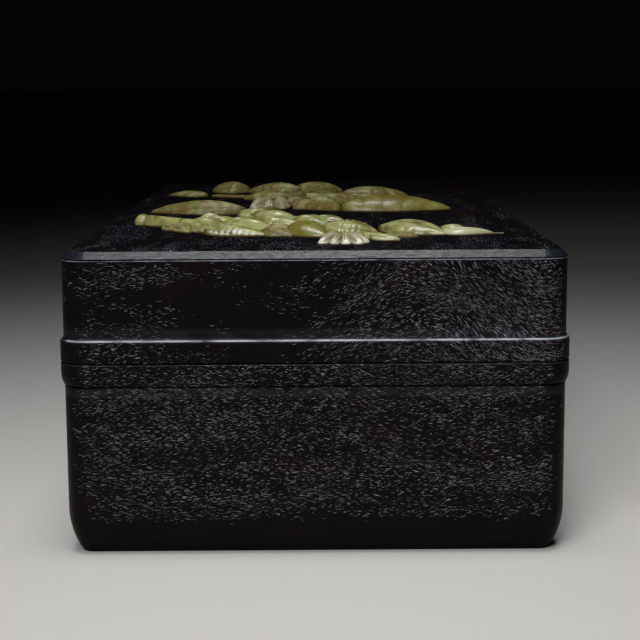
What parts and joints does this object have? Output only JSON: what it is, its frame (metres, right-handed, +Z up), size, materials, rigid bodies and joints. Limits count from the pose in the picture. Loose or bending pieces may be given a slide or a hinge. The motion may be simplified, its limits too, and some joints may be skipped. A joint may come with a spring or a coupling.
{
  "type": "ink stick and stone box",
  "caption": "Long lidded hardwood box with a raised seam band and a carved branch relief, holding a bedded inkstone and a lift-out tray of ink sticks.",
  "frame": {"origin": "middle of the base's underside, on the surface the box stands on", "axes": "+Z up through the lid, +Y along the length away from the front end, +X across the width to the right"},
  "size_m": [0.1014, 0.2164, 0.065],
  "materials": {
    "case_wood": "near-black dense hardwood, waxed to a satin, with fine pale open pores",
    "lining_wood": "the same hardwood left finer and matter inside",
    "inkstone_slate": "fine-grained dark slate, honed",
    "pressed_ink": "moulded soot-and-glue ink, semi-matt, with a gilded border",
    "green_stone": "translucent yellow-green carved soft stone, polished",
    "olive_stone": "olive-yellow carved soft stone, polished",
    "cream_shell": "cream to pearl carved shell, polished",
    "amber_stone": "amber-brown carved soft stone, polished"
  },
  "bodies": {
    "base": {"base_back_wall": "case_wood", "base_corner_keys": "case_wood", "base_front_wall": "case_wood", "base_left_wall": "case_wood", "base_right_wall": "case_wood", "bottom_panel": "case_wood", "lip_back": "lining_wood", "lip_front": "lining_wood", "lip_left": "lining_wood", "lip_right": "lining_wood", "stone_bed": "lining_wood", "tray_rail_left": "lining_wood", "tray_rail_right": "lining_wood"},
    "lid": {"lid_back_wall": "case_wood", "lid_corner_keys": "case_wood", "lid_front_wall": "case_wood", "lid_left_wall": "case_wood", "lid_right_wall": "case_wood", "lid_top_panel": "case_wood", "branch_front": "olive_stone", "branch_knob": "olive_stone", "branch_lower": "olive_stone", "branch_middle": "olive_stone", "branch_upper": "olive_stone", "bud_front": "amber_stone", "leaf_front_1": "green_stone", "leaf_front_2": "green_stone", "leaf_front_3": "green_stone", "leaf_front_4": "green_stone", "leaf_front_5": "green_stone", "leaf_front_6": "green_stone", "leaf_mid_1": "green_stone", "leaf_mid_2": "green_stone", "leaf_mid_3": "green_stone", "leaf_rear_1": "green_stone", "leaf_rear_2": "green_stone", "leaf_rear_3": "green_stone", "leaf_rear_4": "green_stone", "leaf_rear_5": "green_stone", "leaf_rear_6": "green_stone", "leaf_rear_7": "green_stone", "leaf_rear_8": "green_stone", "leaf_rear_9": "green_stone", "petals_front": "cream_shell", "petals_rear": "cream_shell", "pod_front": "amber_stone", "pod_rear": "amber_stone", "seed_head": "amber_stone", "twig_front": "olive_stone", "twig_right": "olive_stone"},
    "tray": {"stick_rack_back": "lining_wood", "stick_rack_front": "lining_wood", "tray_back": "lining_wood", "tray_floor": "lining_wood", "tray_front": "lining_wood", "tray_left": "lining_wood", "tray_right": "lining_wood"},
    "inkstone": {"inkstone": "inkstone_slate"},
    "ink_stick_left": {"ink_stick_left": "pressed_ink"},
    "ink_stick_right": {"ink_stick_right": "pressed_ink"}
  },
  "joints": [
    {"name": "lid_lift", "type": "slide", "parent": "base", "child": "lid", "axis": [0, 0, 1], "range_m": [0, 0.12]},
    {"name": "tray_lift", "type": "slide", "parent": "base", "child": "tray", "axis": [0, 0, 1], "range_m": [0, 0.06]},
    {"name": "stone_lift", "type": "slide", "parent": "base", "child": "inkstone", "axis": [0, 0, 1], "range_m": [0, 0.036]},
    {"name": "left_stick_lift", "type": "slide", "parent": "tray", "child": "ink_stick_left", "axis": [0, 0, 1], "range_m": [0, 0.024]},
    {"name": "right_stick_lift", "type": "slide", "parent": "tray", "child": "ink_stick_right", "axis": [0, 0, 1], "range_m": [0, 0.024]}
  ],
  "couplings": [
    {"joint": "tray_lift", "follows": "lid_lift", "ratio": 0.5},
    {"joint": "stone_lift", "follows": "lid_lift", "ratio": 0.3},
    {"joint": "left_stick_lift", "follows": "lid_lift", "ratio": 0.2},
    {"joint": "right_stick_lift", "follows": "lid_lift", "ratio": 0.2}
  ]
}
